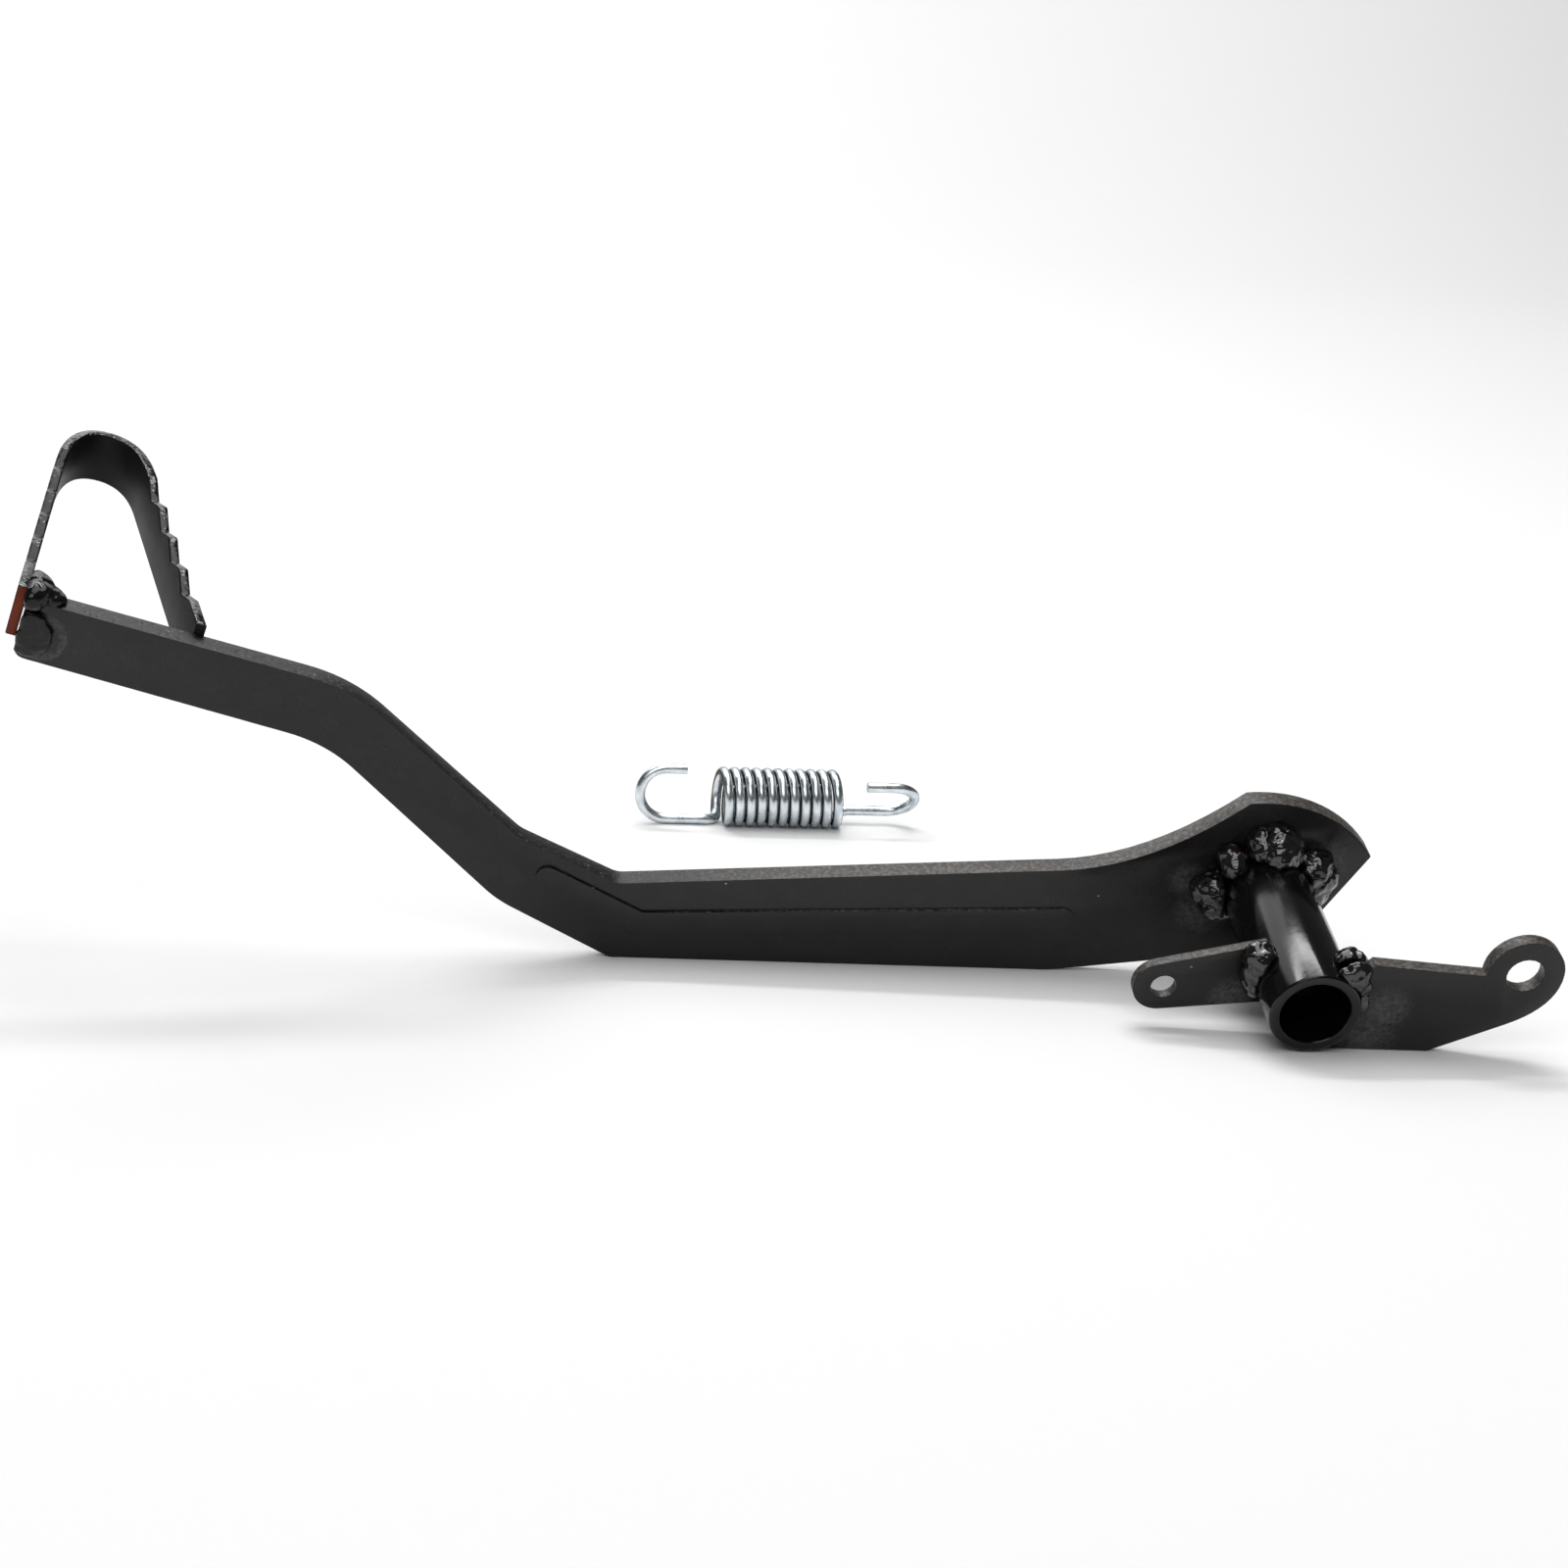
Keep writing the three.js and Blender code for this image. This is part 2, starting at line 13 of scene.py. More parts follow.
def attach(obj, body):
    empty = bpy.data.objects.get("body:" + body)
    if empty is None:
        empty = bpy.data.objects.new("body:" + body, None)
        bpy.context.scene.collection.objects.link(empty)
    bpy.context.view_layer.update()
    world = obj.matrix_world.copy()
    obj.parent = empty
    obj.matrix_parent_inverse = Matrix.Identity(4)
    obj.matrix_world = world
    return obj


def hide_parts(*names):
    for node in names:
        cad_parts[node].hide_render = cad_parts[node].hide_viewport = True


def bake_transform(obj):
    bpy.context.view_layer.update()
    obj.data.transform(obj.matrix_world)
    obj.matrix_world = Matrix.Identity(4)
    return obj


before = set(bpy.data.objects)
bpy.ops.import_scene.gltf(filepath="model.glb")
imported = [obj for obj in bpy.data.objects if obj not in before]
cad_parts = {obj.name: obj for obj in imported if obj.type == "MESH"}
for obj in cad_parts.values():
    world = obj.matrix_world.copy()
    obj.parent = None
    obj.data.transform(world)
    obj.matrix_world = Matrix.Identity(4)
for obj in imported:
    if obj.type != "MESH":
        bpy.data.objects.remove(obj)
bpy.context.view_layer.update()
mm = 0.001

# ---- where things are ----------------------------------------------------------------------------

# The pedal's own axes: along the bar, through its thickness, and up across its face.
along_bar = Vector((0.998913, -0.014614, 0.044262))
through_bar = Vector((0.0, 0.949582, 0.313518))
up_bar = Vector((-0.046612, -0.313178, 0.94855))
pivot = Vector((118.08, -44.39, 26.73)) * mm  # on the tube's axis, at the bar's front face
pedal_axes = Matrix((along_bar, through_bar, up_bar)).transposed().to_4x4()
pedal_frame = Matrix.Translation(pivot) @ pedal_axes

tread_across = Vector((0.2711, -0.3018, 0.914))  # across the tread strip, towards its teeth
strip_end = Vector((-172.4, -63.2, 83.8)) * mm  # middle of the end face of the strip's left leg
strip_end_reach = 13  # mm, how far the bare primer reaches from there

# Places where welding has left a grey haze in the paint: mm on the pedal, and a radius in mm.
haze_spots = [
    ((-14, 0, -8), 9),
    ((-19, 0, 1), 6),
    ((15, 0, 5), 8),
    ((-15, -36, -7), 7),
    ((14, -49, -9), 9),
    ((17, -49, -1), 8),
]
smear_centre = (-283, 0, 67)  # of the ring of haze round the weld at the bar's tread end
smear_radius = 5.2


def on_pedal(x, y, z):
    """A point given in millimetres along, through and up the bar from the pivot."""
    return pedal_frame @ (Vector((x, y, z)) * mm)


# ---- shader helpers ------------------------------------------------------------------------------


def colour(hex_code):
    """An sRGB hex colour as linear red, green, blue and alpha."""
    channels = []
    for start in (1, 3, 5):
        value = int(hex_code[start : start + 2], 16) / 255
        channels.append(value / 12.92 if value <= 0.04045 else ((value + 0.055) / 1.055) ** 2.4)
    return (*channels, 1.0)


def new_material(name):
    material = bpy.data.materials.new(name)
    material.use_nodes = True
    material.node_tree.nodes.clear()
    return material


def add_node(tree, kind, inputs=None, **settings):
    """Adds a node: settings are its properties, inputs are values or sockets to link from."""
    made = tree.nodes.new(kind)
    for key, value in settings.items():
        setattr(made, key, value)
    for key, value in (inputs or {}).items():
        if isinstance(value, bpy.types.NodeSocket):
            tree.links.new(value, made.inputs[key])
        else:
            made.inputs[key].default_value = value
    return made


def object_place(tree):
    return add_node(tree, "ShaderNodeTexCoord").outputs["Object"]


def marked(tree, name):
    """The value that a piece's own attribute gives."""
    return add_node(tree, "ShaderNodeAttribute", attribute_name=name).outputs["Fac"]


def cloudy(tree, place, scale, detail, roughness=0.5):
    """Noise from 0 to 1 whose blotches are about 1000 / scale millimetres across."""
    inputs = {"Vector": place, "Scale": scale, "Detail": detail, "Roughness": roughness}
    return add_node(tree, "ShaderNodeTexNoise", inputs).outputs["Fac"]


def ramp(tree, source, stops):
    """A colour ramp fed by source. stops are (position, grey or colour)."""
    made = add_node(tree, "ShaderNodeValToRGB", {"Fac": source})
    elements = made.color_ramp.elements
    while len(elements) < len(stops):
        elements.new(0.5)
    for element, (position, value) in zip(elements, stops):
        element.position = position
        element.color = value if isinstance(value, tuple) else (value, value, value, 1)
    return made.outputs["Color"]


def distance_to(tree, place, point):
    inputs = {0: place, 1: point}
    return add_node(tree, "ShaderNodeVectorMath", inputs, operation="DISTANCE").outputs["Value"]


def near(tree, place, point, radius):
    """0 at a radius in mm from a point, rising smoothly to 1 at a quarter of it."""
    inputs = {
        "Value": distance_to(tree, place, point),
        "From Min": radius * mm,
        "From Max": radius * 0.25 * mm,
    }
    return add_node(tree, "ShaderNodeMapRange", inputs, interpolation_type="SMOOTHSTEP").outputs[0]


def maths(tree, operation, *values):
    """One arithmetic step on numbers or sockets."""
    return add_node(tree, "ShaderNodeMath", dict(enumerate(values)), operation=operation).outputs[0]


def mixed(tree, share, a, b):
    """a turning into b as share goes from 0 to 1: b is a number, or else a colour or its socket."""
    if isinstance(b, (int, float)):
        return add_node(tree, "ShaderNodeMix", {0: share, 2: a, 3: b}, data_type="FLOAT").outputs[0]
    return add_node(tree, "ShaderNodeMix", {0: share, 6: a, 7: b}, data_type="RGBA").outputs[2]


def bumped(tree, height, strength, distance):
    inputs = {"Height": height, "Strength": strength, "Distance": distance * mm}
    return add_node(tree, "ShaderNodeBump", inputs).outputs["Normal"]


def finish_with(tree, inputs):
    """Ends a material with one principled shader."""
    shader = add_node(tree, "ShaderNodeBsdfPrincipled", inputs)
    add_node(tree, "ShaderNodeOutputMaterial", {"Surface": shader.outputs["BSDF"]})


# ---- materials -----------------------------------------------------------------------------------

enamel_ior = 1.5
peel_height = 0.5  # of the orange peel, against 1 for the slow unevenness
wet_peel_height = 9.0
pitted_height = 2.6


def dust_specks(tree, place):
    """1 on rare specks of dust, up to about 0.7 mm across: one in some of the 2.4 mm cells."""
    cells = add_node(tree, "ShaderNodeTexVoronoi", {"Vector": place, "Scale": 420.0})
    speck = ramp(tree, cells.outputs["Distance"], [(0.10, 1.0), (0.17, 0.0)])
    chosen = ramp(tree, cells.outputs["Color"], [(0.935, 0.0), (0.945, 1.0)])
    return maths(tree, "MULTIPLY", speck, chosen)


def welding_haze(tree, place, grit):
    """A dull bloom beside each bead and a ring round the end weld, broken up by the grit."""
    haze = 0.0
    for spot, radius in haze_spots:
        haze = maths(tree, "MAXIMUM", near(tree, place, on_pedal(*spot), radius), haze)
    from_smear = distance_to(tree, place, on_pedal(*smear_centre))
    in_diameters = maths(tree, "DIVIDE", from_smear, smear_radius * 2 * mm)
    ring = ramp(tree, in_diameters, [(0.34, 0.0), (0.45, 0.55), (0.52, 0.8), (0.6, 0.0)])
    patchy = ramp(tree, grit, [(0.38, 0.15), (0.62, 1.0)])
    return maths(tree, "MULTIPLY", maths(tree, "MAXIMUM", haze, ring), patchy)


def pitted_steel_with_painted_light(tree, place, grit):
    """The sheared top edge under thin paint: grey grain with pits 1.8 mm apart. The grey is partly the
    steel's grain and partly a painted reflection, the near-black pits are painted shade, and the
    lightest specks are painted glints.

    Towards the tread it is blacker, with fewer and brighter glints: more painted shade there, and
    painted glints. Gives its colour and its height.
    """
    along = add_node(tree, "ShaderNodeSeparateXYZ", {0: place}).outputs["X"]
    turning_black = {"Value": along, "From Min": 10 * mm, "From Max": -30 * mm}
    tread_side = add_node(tree, "ShaderNodeMapRange", turning_black).outputs[0]
    cells = add_node(tree, "ShaderNodeTexVoronoi", {"Vector": place, "Scale": 560.0})
    deep = ramp(tree, cells.outputs["Distance"], [(0.18, 0.0), (0.36, 1.0)])
    shallow = maths(tree, "MULTIPLY_ADD", deep, 0.35, 0.65)
    pits = mixed(tree, tread_side, shallow, deep)
    # Painted light: the grey stands partly for a reflection of the bright room, the lightest stops are
    # painted glints, the blacker tread side is painted shade, and the near black at the pits is
    # painted shade.
    grey = [(0.34, colour("#1c1a19")), (0.5, colour("#413d3a")), (0.66, colour("#6c6862"))]
    black = [(0.44, colour("#060505")), (0.6, colour("#151312")), (0.72, colour("#8c8882"))]
    grain = mixed(tree, tread_side, ramp(tree, grit, grey), ramp(tree, grit, black))
    return mixed(tree, pits, colour("#0a0909"), grain), maths(tree, "ADD", pits, grit)


def gloss_enamel(name, roughness, sheen, blacks, pitted_edges=False, wet_edges=False):
    """Stoved black enamel over bare steel: near black, glossy, with a slight orange peel and dust.

    roughness is the least and the most, blacks the darkest and the lightest colour. Over a sheared
    edge the paint is either thin and pitted, so that the steel's grain and a painted reflection grey
    it, or thick and wet.
    """
    material = new_material(name)
    tree = material.node_tree
    place = object_place(tree)
    peel = cloudy(tree, place, 620.0, 2.0)  # orange peel, 1.6 mm across
    waves = cloudy(tree, place, 70.0, 2.0)  # slow unevenness, 14 mm
    mottle = cloudy(tree, place, 160.0, 5.0)  # lighter and darker black, 6 mm
    grit = cloudy(tree, place, 950.0, 5.0, roughness=0.7)  # sharp grain, 1 mm

    tint = ramp(tree, mottle, [(0.3, colour(blacks[0])), (0.7, colour(blacks[1]))])
    rough = ramp(tree, waves, [(0.3, roughness[0]), (0.7, roughness[1])])
    height = maths(tree, "MULTIPLY_ADD", peel, peel_height, waves)

    haze = welding_haze(tree, place, grit)
    tint = mixed(tree, haze, tint, colour("#4b494b"))
    rough = mixed(tree, haze, rough, 0.6)

    edge = marked(tree, "cut_edge")
    if wet_edges:
        rough = mixed(tree, edge, rough, 0.1)
        sheen = mixed(tree, edge, sheen, 0.34)
        # The wet edges are painted a deeper black than the faces: painted shade.
        tint = mixed(tree, edge, tint, colour("#060505"))
        # The peel stands much higher in the wet paint, which breaks its shine into glints.
        wet_peel = maths(tree, "MULTIPLY", peel, edge)
        height = maths(tree, "MULTIPLY_ADD", wet_peel, wet_peel_height, height)
        # Red primer shows on the end of the strip, where the paint has run off it.
        at_end = near(tree, place, strip_end, strip_end_reach)
        bare = maths(tree, "MULTIPLY", at_end, marked(tree, "bare_end"))
        tint = mixed(tree, bare, tint, colour("#6b2c1b"))
    if pitted_edges:
        # The edge's colour carries painted reflection, painted glints and painted shade.
        edge_colour_with_painted_light, relief = pitted_steel_with_painted_light(tree, place, grit)
        tint = mixed(tree, edge, tint, edge_colour_with_painted_light)
        rough = mixed(tree, edge, rough, 0.42)
        pitted = maths(tree, "MULTIPLY", relief, edge)
        height = maths(tree, "MULTIPLY_ADD", pitted, pitted_height, height)

    dust = dust_specks(tree, place)
    finish_with(
        tree,
        {
            "Base Color": mixed(tree, dust, tint, colour("#a9a6a2")),
            "Roughness": mixed(tree, dust, rough, 0.8),
            "Normal": bumped(tree, height, strength=0.22, distance=0.12),
            "IOR": enamel_ior,
            "Specular IOR Level": sheen,
        },
    )
    return material


def weld_enamel(name, sheen):
    """The same enamel over weld metal: thicker, wetter and slightly brown where it burnt."""
    material = new_material(name)
    tree = material.node_tree
    place = object_place(tree)
    scorch = cloudy(tree, place, 420.0, 4.0)  # burnt marks, 2.4 mm across
    grain = cloudy(tree, place, 1500.0, 3.0)  # 0.7 mm, which breaks the highlights up
    burnt = [(0.4, colour("#090808")), (0.6, colour("#131010")), (0.75, colour("#2b1d1a"))]
    finish_with(
        tree,
        {
            "Base Color": ramp(tree, scorch, burnt),
            "Roughness": 0.1,
            "Normal": bumped(tree, grain, strength=0.3, distance=0.15),
            "IOR": enamel_ior,
            "Specular IOR Level": sheen,
        },
    )
    return material


def bright_zinc(name):
    """Zinc-plated spring wire: bright and slightly blue, with dull patches.

    The wire's sides that face the next turn, marked between_turns, are painted dark brown as painted
    shade between the turns.
    """
    material = new_material(name)
    tree = material.node_tree
    place = object_place(tree)
    patches = cloudy(tree, place, 260.0, 5.0)  # brighter and duller plating, 4 mm across
    marks = cloudy(tree, place, 2600.0, 3.0)  # drawing marks, 0.4 mm
    # Painted shade: the sides that face the next turn are darkened to olive brown.
    painted_shade_between_turns = ramp(tree, marked(tree, "between_turns"), [(0.74, 0.0), (0.92, 1.0)])
    tint = ramp(tree, patches, [(0.35, colour("#c4cdd3")), (0.7, colour("#eef3f6"))])
    rough = ramp(tree, patches, [(0.3, 0.22), (0.7, 0.34)])
    finish_with(
        tree,
        {
            "Base Color": mixed(tree, painted_shade_between_turns, tint, colour("#5f5742")),
            "Metallic": 1.0,
            "Roughness": mixed(tree, painted_shade_between_turns, rough, 0.4),
            "Normal": bumped(tree, marks, strength=0.12, distance=0.08),
            "Specular Tint": colour("#b0b6b8"),
        },
    )
    return material


plate_blacks = ("#131213", "#1c1a1b")
# The tube's blacks are darker than the plates' though it is the same enamel: painted shade on the
# tube.
tube_blacks_painted_darker = ("#070607", "#0c0b0c")
bar_enamel = gloss_enamel(
    "black_enamel_on_sheared_plate", (0.2, 0.3), 0.34, plate_blacks, pitted_edges=True
)
tube_enamel = gloss_enamel("black_enamel_on_tube", (0.12, 0.18), 0.34, tube_blacks_painted_darker)
tread_enamel = gloss_enamel(
    "satin_black_enamel_on_tread", (0.42, 0.5), 0.14, plate_blacks, wet_edges=True
)
bead_enamel = weld_enamel("black_enamel_on_weld_bead", 0.8)
quiet_enamel = weld_enamel("black_enamel_on_tread_weld", 0.3)
zinc = bright_zinc("bright_zinc_on_spring_wire")

# ---- painted steel pieces ------------------------------------------------------------------------

merge_distance = 0.02 * mm
flat_angle = math.radians(0.6)  # facets closer than this to one plane become one face
painted_crease = math.radians(38)  # a sharper edge stays sharp in the shading
bevel_crease = math.radians(40)  # a sharper edge is rounded over


def copy_of(node):
    """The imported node's shape as a merged bmesh with flat faces joined."""
    shape = bmesh.new()
    shape.from_mesh(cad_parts[node].data)
    bmesh.ops.remove_doubles(shape, verts=shape.verts, dist=merge_distance)
    bmesh.ops.dissolve_limit(shape, angle_limit=flat_angle, verts=shape.verts, edges=shape.edges)
    bmesh.ops.recalc_face_normals(shape, faces=shape.faces)
    return shape


def piece_from(shape, name, material, node):
    """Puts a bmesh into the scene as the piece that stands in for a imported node."""
    mesh = bpy.data.meshes.new(name)
    shape.to_mesh(mesh)
    shape.free()
    mesh.materials.append(material)
    piece = bpy.data.objects.new(name, mesh)
    bpy.context.scene.collection.objects.link(piece)
    mesh.shade_smooth()
    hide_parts(node)
    return piece


def settle(piece):
    """Turns the piece's modifiers into plain mesh."""
    bpy.context.view_layer.update()
    evaluated = piece.evaluated_get(bpy.context.evaluated_depsgraph_get())
    final = bpy.data.meshes.new_from_object(evaluated)
    piece.modifiers.clear()
    old = piece.data
    piece.data = final
    bpy.data.meshes.remove(old)


def mark_faces(mesh, name, rule):
    """Stores 1 on the faces whose normal meets the rule, and 0 on the others."""
    values = [float(rule(face.normal)) for face in mesh.polygons]
    mesh.attributes.new(name, "FLOAT", "FACE").data.foreach_set("value", values)


def painted_plate(node, rounding, is_cut, material=bar_enamel):
    """A plate whose edges the paint rounds by some mm. is_cut says which faces a shear has cut."""
    piece = piece_from(copy_of(node), node + "_painted", material, node)
    mark_faces(piece.data, "cut_edge", is_cut)
    round_over = piece.modifiers.new("rounded_edges", "BEVEL")
    round_over.width = rounding * mm
    round_over.segments = 3
    round_over.limit_method = "ANGLE"
    round_over.angle_limit = bevel_crease
    settle(piece)
    piece.data.shade_smooth()
    piece.data.set_sharp_from_angle(angle=painted_crease)
    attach(piece, "pedal")
    return piece


def round_the_plate(normal):
    """The faces round the outline of a plate that lies across the bar's thickness."""
    return abs(normal.dot(through_bar)) < 0.5


def along_the_strip(normal):
    """The two long edges of the tread strip, one of them toothed."""
    return abs(normal.dot(tread_across)) > 0.35


def faces_forward(normal):
    return normal.dot(through_bar) < -0.8


painted_plate("lever_bar", 0.55, round_the_plate)
painted_plate("spring_tab", 0.4, round_the_plate)
painted_plate("rod_arm", 0.45, round_the_plate)
tread_strip = painted_plate("tread_strip", 0.35, along_the_strip, tread_enamel)
painted_plate("pivot_tube", 0.3, round_the_plate, tube_enamel)
mark_faces(tread_strip.data, "bare_end", faces_forward)

# ---- welds ---------------------------------------------------------------------------------------

bead_cell = 0.3 * mm  # edge of the cells that a bead is remeshed with
lump_sizes = [(0.6, 0.4), (0.32, 0.95)]  # height in mm, and lumps to the mm


def smooth(shape, times):
    """Lets each vertex sink half way towards its neighbours, some times over."""
    for _ in range(times):
        bmesh.ops.smooth_vert(
            shape, verts=shape.verts, factor=0.5, use_axis_x=True, use_axis_y=True, use_axis_z=True
        )


def weld_bead(node, seed, flow=4, ripple=1.0, swell=0.6, finish=bead_enamel):
    """Frozen weld metal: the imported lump, swollen by some mm to meet its neighbours, and rippled.

    flow is how often it is smoothed: a bead that ran freely has few lumps left.
    """
    piece = piece_from(copy_of(node), node + "_bead", finish, node)
    remesh = piece.modifiers.new("fine_cells", "REMESH")
    remesh.mode = "VOXEL"
    remesh.voxel_size = bead_cell
    settle(piece)
    shape = bmesh.new()
    shape.from_mesh(piece.data)
    smooth(shape, flow)
    shape.normal_update()
    shift = Vector((seed * 3.1, seed * 1.7, seed * 0.9))
    moves = []
    for vertex in shape.verts:
        at = vertex.co / mm
        lumps = sum(size * noise.noise(at * count + shift) for size, count in lump_sizes)
        moves.append(vertex.normal * (swell + ripple * lumps) * mm)
    for vertex, move in zip(shape.verts, moves):
        vertex.co += move
    smooth(shape, 2)
    shape.to_mesh(piece.data)
    shape.free()
    piece.data.shade_smooth()
    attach(piece, "pedal")


weld_bead("tube_weld_top", 1, swell=0.75)
weld_bead("tube_weld_upper_left", 2, swell=0.95)
weld_bead("tube_weld_left", 3, swell=0.7)
weld_bead("tube_weld_right", 4, swell=0.7)
weld_bead("tab_weld", 5)
weld_bead("arm_weld", 6)
weld_bead("arm_weld_rear", 7)
weld_bead("tread_weld_gusset", 8, flow=40, ripple=0.6, swell=0.8, finish=quiet_enamel)
weld_bead("tread_weld_face", 9, flow=25, ripple=0.6, swell=0.45, finish=quiet_enamel)
weld_bead("tread_weld_far_leg", 10, flow=20, ripple=0.4, finish=quiet_enamel)

# ---- return spring -------------------------------------------------------------------------------

# Millimetres and degrees, in the spring's own frame: its axis along x, its middle at the origin.
wire_diameter = 2.9
coil_diameter = 16.8
coil_radius = (coil_diameter - wire_diameter) / 2
turns = 11
pitch = 3.09
hook_turn = 48  # how far the moving hook is turned about the axis from the fixed one
lead_angle = 28  # part of a turn at each end that belongs to the hook
hook_lead = 5
hook_radius = 7.3
hook_shank = 15.1
fixed_hook_tail = 5.7
moving_hook_tail = 7.7
coil_turn = 2 * math.pi * turns + math.radians(hook_turn)
coil_length = coil_turn / (2 * math.pi) * pitch
spring_middle = Vector((16.38, 88.11, 8.45)) * mm
spring_place = Matrix.Translation(spring_middle) @ Matrix.Rotation(math.radians(2.6), 4, "Z")

# How finely the curves are drawn, in straight pieces.
wire_sides = 20
turn_steps = 48
lead_steps = 15
shank_steps = 8
round_steps = 40
tail_steps = 5


def wire_tree():
    """A node group that sweeps a round wire along a line. Inputs: Wire Radius, Sides, Finish."""
    tree = bpy.data.node_groups.new("round_wire_along_line", "GeometryNodeTree")
    interface = tree.interface
    interface.new_socket("Line", in_out="INPUT", socket_type="NodeSocketGeometry")
    radius = interface.new_socket("Wire Radius", in_out="INPUT", socket_type="NodeSocketFloat")
    radius.default_value = 0.001
    sides = interface.new_socket("Sides", in_out="INPUT", socket_type="NodeSocketInt")
    sides.default_value = 16
    finish = interface.new_socket("Finish", in_out="INPUT", socket_type="NodeSocketMaterial")
    interface.new_socket("Wire", in_out="OUTPUT", socket_type="NodeSocketGeometry")
    entry = add_node(tree, "NodeGroupInput")
    curve = add_node(tree, "GeometryNodeMeshToCurve", {"Mesh": entry.outputs["Line"]})
    ring = add_node(
        tree,
        "GeometryNodeCurvePrimitiveCircle",
        {"Resolution": entry.outputs["Sides"], "Radius": entry.outputs["Wire Radius"]},
    )
    swept = add_node(
        tree,
        "GeometryNodeCurveToMesh",
        {
            "Curve": curve.outputs["Curve"],
            "Profile Curve": ring.outputs["Curve"],
            "Fill Caps": True,
        },
    )
    rounded = add_node(tree, "GeometryNodeSetShadeSmooth", {"Geometry": swept.outputs["Mesh"]})
    real = add_node(
        tree, "GeometryNodeRealizeInstances", {"Geometry": rounded.outputs["Geometry"]}
    )
    coloured = add_node(
        tree,
        "GeometryNodeSetMaterial",
        {"Geometry": real.outputs["Geometry"], "Material": entry.outputs["Finish"]},
    )
    add_node(tree, "NodeGroupOutput", {"Wire": coloured.outputs["Geometry"]})
    return tree, radius.identifier, sides.identifier, finish.identifier


wire_maker, radius_input, sides_input, finish_input = wire_tree()


def wire_piece(name, points, node, shaded_between_turns=False):
    """A wire along points in the spring's frame. A shaded one is painted dark brown between its turns,
    as painted shade.
    """
    line = bpy.data.meshes.new(name)
    places = [spring_place @ (Vector(p) * mm) for p in points]
    line.from_pydata(places, [(i, i + 1) for i in range(len(places) - 1)], [])
    piece = bpy.data.objects.new(name, line)
    bpy.context.scene.collection.objects.link(piece)
    sweep = piece.modifiers.new("wire", "NODES")
    sweep.node_group = wire_maker
    sweep[radius_input] = wire_diameter / 2 * mm
    sweep[sides_input] = wire_sides
    sweep[finish_input] = zinc
    settle(piece)
    spring_axis = spring_place.to_3x3() @ Vector((1, 0, 0))
    # Marks the sides that face the next turn, for the painted shade between the turns.
    facing = [abs(vertex.normal.dot(spring_axis)) * shaded_between_turns for vertex in piece.data.vertices]
    sides = piece.data.attributes.new("between_turns", "FLOAT", "POINT")
    sides.data.foreach_set("value", facing)
    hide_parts(node)
    return piece


def coil_point(share):
    """A point on the coil's line, with share from 0 at its first end to 1 at its last."""
    lead = math.radians(lead_angle)
    turned = lead + (coil_turn - 2 * lead) * share
    x = coil_length * (share - 0.5)
    return Vector((x, coil_radius * math.sin(turned), -coil_radius * math.cos(turned)))


def hook_points(hook_tail):
    """A hook's line from the coil's end at x = 0: a lead, a straight shank, the round and the tail."""
    end = math.radians(lead_angle)
    low = -coil_radius
    start = Vector((0, low * math.sin(end), low * math.cos(end)))
    heading = Vector((0.1, math.cos(end), -math.sin(end)))
    shank_start = Vector((hook_lead, 0, low))
    lead_in = start + heading * hook_lead / 2
    lead_out = Vector((hook_lead / 2, 0, low))
    points = []
    for step in range(lead_steps + 1):
        t = step / lead_steps
        a, b, c = (1 - t) ** 3, 3 * t * (1 - t) ** 2, 3 * t * t * (1 - t)
        points.append(start * a + lead_in * b + lead_out * c + shank_start * t**3)
    for step in range(1, shank_steps + 1):
        x = hook_lead + (hook_shank - hook_lead) * step / shank_steps
        points.append(Vector((x, 0, low)))
    for step in range(1, round_steps + 1):
        angle = math.pi * step / round_steps
        x = hook_shank + hook_radius * math.sin(angle)
        points.append(Vector((x, 0, low + hook_radius * (1 - math.cos(angle)))))
    for step in range(1, tail_steps + 1):
        x = hook_shank - hook_tail * step / tail_steps
        points.append(Vector((x, 0, low + 2 * hook_radius)))
    return points


coil_steps = turn_steps * turns
half_turn = Matrix.Rotation(math.pi, 4, "Z")
hook_twist = Matrix.Rotation(math.radians(hook_turn), 4, "X")
left_end = Vector((-coil_length / 2, 0, 0))
right_end = Vector((coil_length / 2, 0, 0))
coil_line = [coil_point(step / coil_steps) for step in range(coil_steps + 1)]
fixed_line = [left_end + half_turn @ p for p in hook_points(fixed_hook_tail)]
moving_line = [right_end + hook_twist @ p for p in hook_points(moving_hook_tail)]

coil = wire_piece("spring_coil_wire", coil_line, "spring_coil", shaded_between_turns=True)
fixed_hook = wire_piece("spring_fixed_hook_wire", fixed_line, "spring_fixed_hook")
moving_hook = wire_piece("spring_moving_hook_wire", moving_line, "spring_moving_hook")
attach(fixed_hook, "spring")
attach(moving_hook, "spring_moving_end")
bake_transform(coil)

# ---- floor, light and camera ---------------------------------------------------------------------

# The sweep, in metres: how far it reaches on each side of the object, and the bend behind it.
sweep_left = 3.0
sweep_right = 2.0
sweep_before = 3.5
sweep_behind = 2.6
sweep_top = 3.8
bend_radius = 1.2
bend_steps = 16


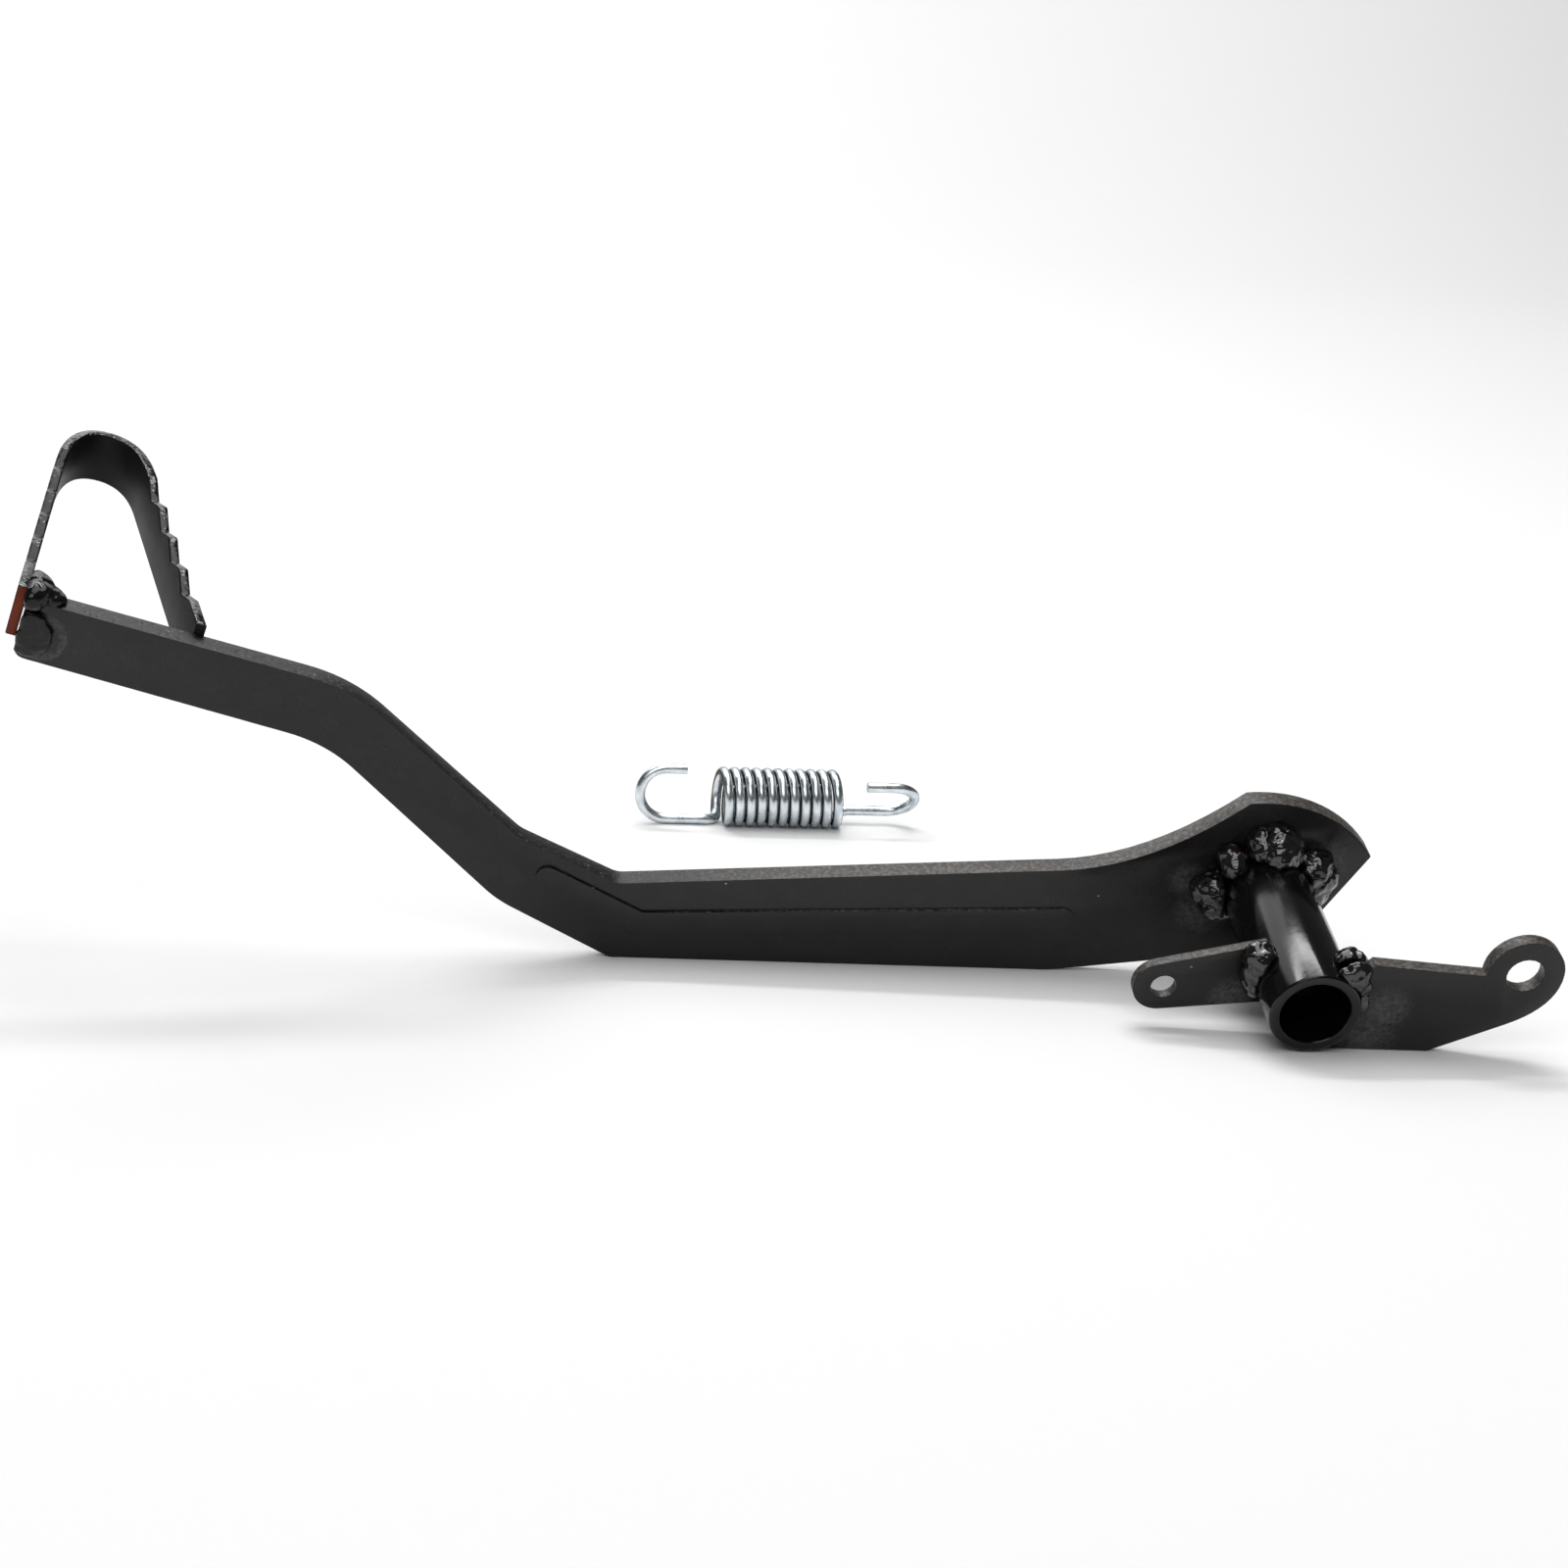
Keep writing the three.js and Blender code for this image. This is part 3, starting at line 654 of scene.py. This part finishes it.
def studio_sweep():
    """A pale seamless sweep: flat under the object, curving up far behind it, wider to the left."""
    profile = [(-sweep_before, 0.0), (sweep_behind, 0.0)]
    for step in range(1, bend_steps + 1):
        angle = math.pi / 2 * step / bend_steps
        y = sweep_behind + bend_radius * math.sin(angle)
        profile.append((y, bend_radius * (1 - math.cos(angle))))
    profile.append((sweep_behind + bend_radius, sweep_top))
    mesh = bpy.data.meshes.new("studio_sweep")
    verts = [(x, y, z) for y, z in profile for x in (-sweep_left, sweep_right)]
    faces = [(2 * i, 2 * i + 1, 2 * i + 3, 2 * i + 2) for i in range(len(profile) - 1)]
    mesh.from_pydata(verts, [], faces)
    mesh.shade_smooth()
    sweep = bpy.data.objects.new("studio_sweep", mesh)
    bpy.context.scene.collection.objects.link(sweep)
    paper = new_material("white_paper")
    finish_with(paper.node_tree, {"Base Color": colour("#f4f4f4"), "Roughness": 0.9})
    mesh.materials.append(paper)


def softbox(name, place, target, size, power):
    """A rectangular lamp: places in metres, size as width and height in metres, power in watts."""
    light = bpy.data.lights.new(name, "AREA")
    light.shape = "RECTANGLE"
    light.size, light.size_y = size
    light.energy = power
    lamp = bpy.data.objects.new(name, light)
    bpy.context.scene.collection.objects.link(lamp)
    lamp.location = place
    aim = Vector(target) - Vector(place)
    lamp.rotation_euler = aim.to_track_quat("-Z", "Y").to_euler()


studio_sweep()
object_middle = (0, 0, 0)
softbox("overhead_softbox", (0.1, -0.05, 1.35), object_middle, (1.3, 0.8), 9)
softbox("left_back_softbox", (-0.55, 1.1, 1.35), object_middle, (1.3, 0.8), 6)
softbox("backdrop_light", (-0.5, 1.7, 3.4), (-0.5, 3.6, 1.0), (3.4, 0.8), 120)
softbox("front_fill", (-0.6, -1.9, 1.7), object_middle, (1.8, 1.2), 20)

world = bpy.data.worlds.new("soft_room")
world.use_nodes = True
background = world.node_tree.nodes["Background"]
background.inputs["Color"].default_value = colour("#ffffff")
background.inputs["Strength"].default_value = 0.1
bpy.context.scene.world = world
bpy.context.scene.view_settings.view_transform = "Standard"

camera_data = bpy.data.cameras.new("camera")
camera_data.lens = 63.0
camera_data.sensor_width = 36.0
camera_data.clip_start = 0.02
camera = bpy.data.objects.new("camera", camera_data)
bpy.context.scene.collection.objects.link(camera)
camera_right = Vector((0.99092, -0.11538, 0.06904))
camera_up = Vector((-0.03758, 0.25529, 0.96613))
camera_back = camera_right.cross(camera_up)
camera_axes = Matrix((camera_right, camera_up, camera_back)).transposed().to_4x4()
camera_place = Vector((-83.1, -662.1, 206.78)) * mm
camera.matrix_world = Matrix.Translation(camera_place) @ camera_axes
bpy.context.scene.camera = camera
